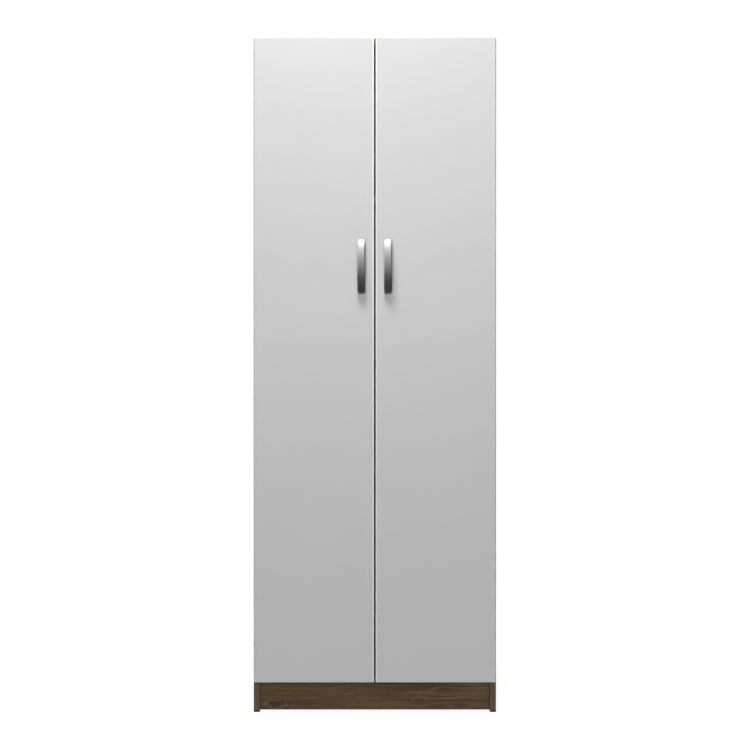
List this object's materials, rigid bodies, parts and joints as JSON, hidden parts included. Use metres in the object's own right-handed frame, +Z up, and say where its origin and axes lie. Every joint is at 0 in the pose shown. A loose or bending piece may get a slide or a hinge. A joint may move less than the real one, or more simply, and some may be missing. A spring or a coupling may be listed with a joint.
{
  "type": "wardrobe",
  "caption": "Tall free-standing wardrobe: white overlay doors on cup hinges with bow handles, dark wood-grain carcass on a plinth, with a hat shelf and a hanging rail inside.",
  "frame": {"origin": "on the floor, under the middle of the whole, handles included", "axes": "+Z up, the doors face -Y, +X to the right seen from the front"},
  "size_m": [0.65, 0.5308, 1.807],
  "materials": {
    "white_melamine": "white melamine on chipboard, satin",
    "dark_wood_decor": "dark wood-grain decor on chipboard, satin",
    "hardboard": "raw hardboard outside, decor inside",
    "satin_handle_metal": "satin chrome",
    "chrome_rail": "polished tube",
    "nickel_socket": "nickel-plated",
    "dark_plastic": "moulded, dull",
    "brown_plastic": "extruded, dull",
    "clear_rubber": "soft, frosted",
    "beech": "fluted beech",
    "zinc": "die-cast zinc",
    "bright_steel": "bright zinc-plated",
    "nickel_hinge": "nickel-plated pressed steel"
  },
  "bodies": {
    "carcass": {"arm_screws": "bright_steel", "back_joiner_strip": "brown_plastic", "back_nails": "bright_steel", "back_panel_lower": "hardboard", "back_panel_upper": "hardboard", "bottom_panel": "dark_wood_decor", "cam_bolts": "bright_steel", "cam_discs": "zinc", "foot_glides": "dark_plastic", "hanging_rail": "chrome_rail", "hat_shelf": "dark_wood_decor", "hinge_arm_high_left": "nickel_hinge", "hinge_arm_high_right": "nickel_hinge", "hinge_arm_low_left": "nickel_hinge", "hinge_arm_low_right": "nickel_hinge", "hinge_arm_middle_left": "nickel_hinge", "hinge_arm_middle_right": "nickel_hinge", "hinge_plate_high_left": "nickel_hinge", "hinge_plate_high_right": "nickel_hinge", "hinge_plate_low_left": "nickel_hinge", "hinge_plate_low_right": "nickel_hinge", "hinge_plate_middle_left": "nickel_hinge", "hinge_plate_middle_right": "nickel_hinge", "plate_screws": "bright_steel", "plinth_board": "dark_wood_decor", "rail_socket_left": "nickel_socket", "rail_socket_right": "nickel_socket", "rail_socket_screws": "bright_steel", "shelf_pins": "bright_steel", "side_panel_left": "dark_wood_decor", "side_panel_right": "dark_wood_decor", "top_panel": "dark_wood_decor", "wood_dowels": "beech"},
    "door_leaf_left": {"cup_screws_left": "bright_steel", "door_buffers_left": "clear_rubber", "door_left": "white_melamine", "handle_left": "satin_handle_metal", "handle_screws_left": "bright_steel", "hinge_cup_high_left": "nickel_hinge", "hinge_cup_low_left": "nickel_hinge", "hinge_cup_middle_left": "nickel_hinge", "hinge_pins_left": "bright_steel"},
    "door_leaf_right": {"cup_screws_right": "bright_steel", "door_buffers_right": "clear_rubber", "door_right": "white_melamine", "handle_right": "satin_handle_metal", "handle_screws_right": "bright_steel", "hinge_cup_high_right": "nickel_hinge", "hinge_cup_low_right": "nickel_hinge", "hinge_cup_middle_right": "nickel_hinge", "hinge_pins_right": "bright_steel"}
  },
  "joints": [
    {"name": "left_door_swing", "type": "hinge", "parent": "carcass", "child": "door_leaf_left", "pos_m": [-0.31431, -0.23018, 0.944], "axis": [0, 0, -1], "range_deg": [0, 105]},
    {"name": "right_door_swing", "type": "hinge", "parent": "carcass", "child": "door_leaf_right", "pos_m": [0.31431, -0.23018, 0.944], "axis": [0, 0, 1], "range_deg": [0, 105]}
  ]
}
